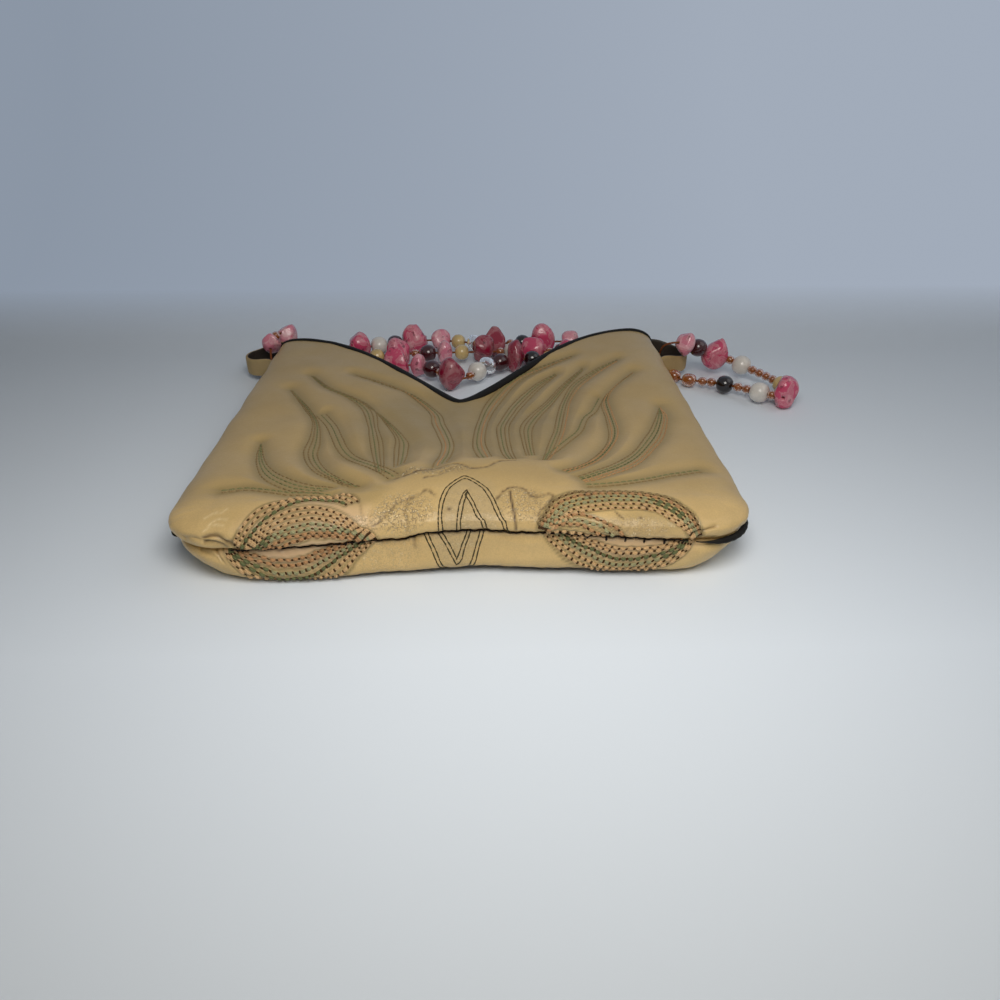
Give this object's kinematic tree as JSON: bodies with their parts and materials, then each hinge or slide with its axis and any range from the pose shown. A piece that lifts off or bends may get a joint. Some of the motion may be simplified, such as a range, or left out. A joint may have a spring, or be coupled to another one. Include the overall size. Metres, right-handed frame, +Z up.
{
  "type": "boot-shaft purse",
  "caption": "Flat pouch purse cut from the shaft of a western boot, open at its scalloped top, with a beaded shoulder strap lying behind it.",
  "frame": {"origin": "on the table under the middle of the pouch, without its strap", "axes": "+X across the pouch to the right, +Y from the sewn bottom edge to the scalloped mouth, +Z up from the table"},
  "size_m": [0.2705, 0.2173, 0.0265],
  "materials": {
    "tan_leather": "satin, worn at the folds",
    "black_leather": "satin",
    "dark_lining": "matt",
    "dark_thread": "waxed",
    "brown_cord": "waxed",
    "pink_stone": "tumbled, veined",
    "rose_stone": "tumbled, veined",
    "crimson_stone": "tumbled, veined",
    "garnet": "polished",
    "black_stone": "polished",
    "pearl": "pearly",
    "cream": "gloss",
    "clear_glass": "clear"
  },
  "bodies": {
    "root": {"front_panel": "tan_leather", "back_panel": "tan_leather", "front_lining": "dark_lining", "back_lining": "dark_lining", "front_top_binding": "black_leather", "back_top_binding": "black_leather", "left_side_welt": "black_leather", "right_side_welt": "black_leather", "bottom_seam_thread": "dark_thread", "left_pull_strap": "tan_leather", "right_pull_strap": "tan_leather", "strap_cord": "brown_cord", "bead_01_rose_chip": "rose_stone", "bead_02_garnet": "garnet", "bead_03_pink_chip": "pink_stone", "bead_04_pearl": "pearl", "bead_05_cream_bead": "cream", "bead_06_pink_chip": "pink_stone", "bead_07_pearl": "pearl", "bead_08_black_bead": "black_stone", "bead_09_garnet": "garnet", "bead_10_rose_chip": "rose_stone", "bead_11_pink_chip": "pink_stone", "bead_12_cream_bead": "cream", "bead_13_black_bead": "black_stone", "bead_14_crimson_chip": "crimson_stone", "bead_15_garnet": "garnet", "bead_16_glass": "clear_glass", "bead_17_pearl": "pearl", "bead_18_crimson_chip": "crimson_stone", "bead_19_garnet": "garnet", "bead_20_rose_chip": "rose_stone", "bead_21_pink_chip": "pink_stone", "bead_22_rose_chip": "rose_stone", "bead_23_cream_bead": "cream", "bead_24_pink_chip": "pink_stone", "bead_25_garnet": "garnet", "bead_26_rose_chip": "rose_stone", "bead_27_cream_bead": "cream", "bead_28_crimson_chip": "crimson_stone", "bead_29_pearl": "pearl", "bead_30_pink_chip": "pink_stone", "bead_31_garnet": "garnet", "bead_32_cream_bead": "cream", "bead_33_rose_chip": "rose_stone", "bead_34_pink_chip": "pink_stone", "bead_35_black_bead": "black_stone", "bead_36_crimson_chip": "crimson_stone", "bead_37_glass": "clear_glass", "bead_38_cream_bead": "cream", "bead_39_rose_chip": "rose_stone", "bead_40_pink_chip": "pink_stone", "bead_41_garnet": "garnet", "bead_42_pearl": "pearl", "bead_43_pink_chip": "pink_stone", "bead_44_cream_bead": "cream", "bead_45_rose_chip": "rose_stone", "bead_46_rose_chip": "rose_stone"}
  },
  "joints": []
}
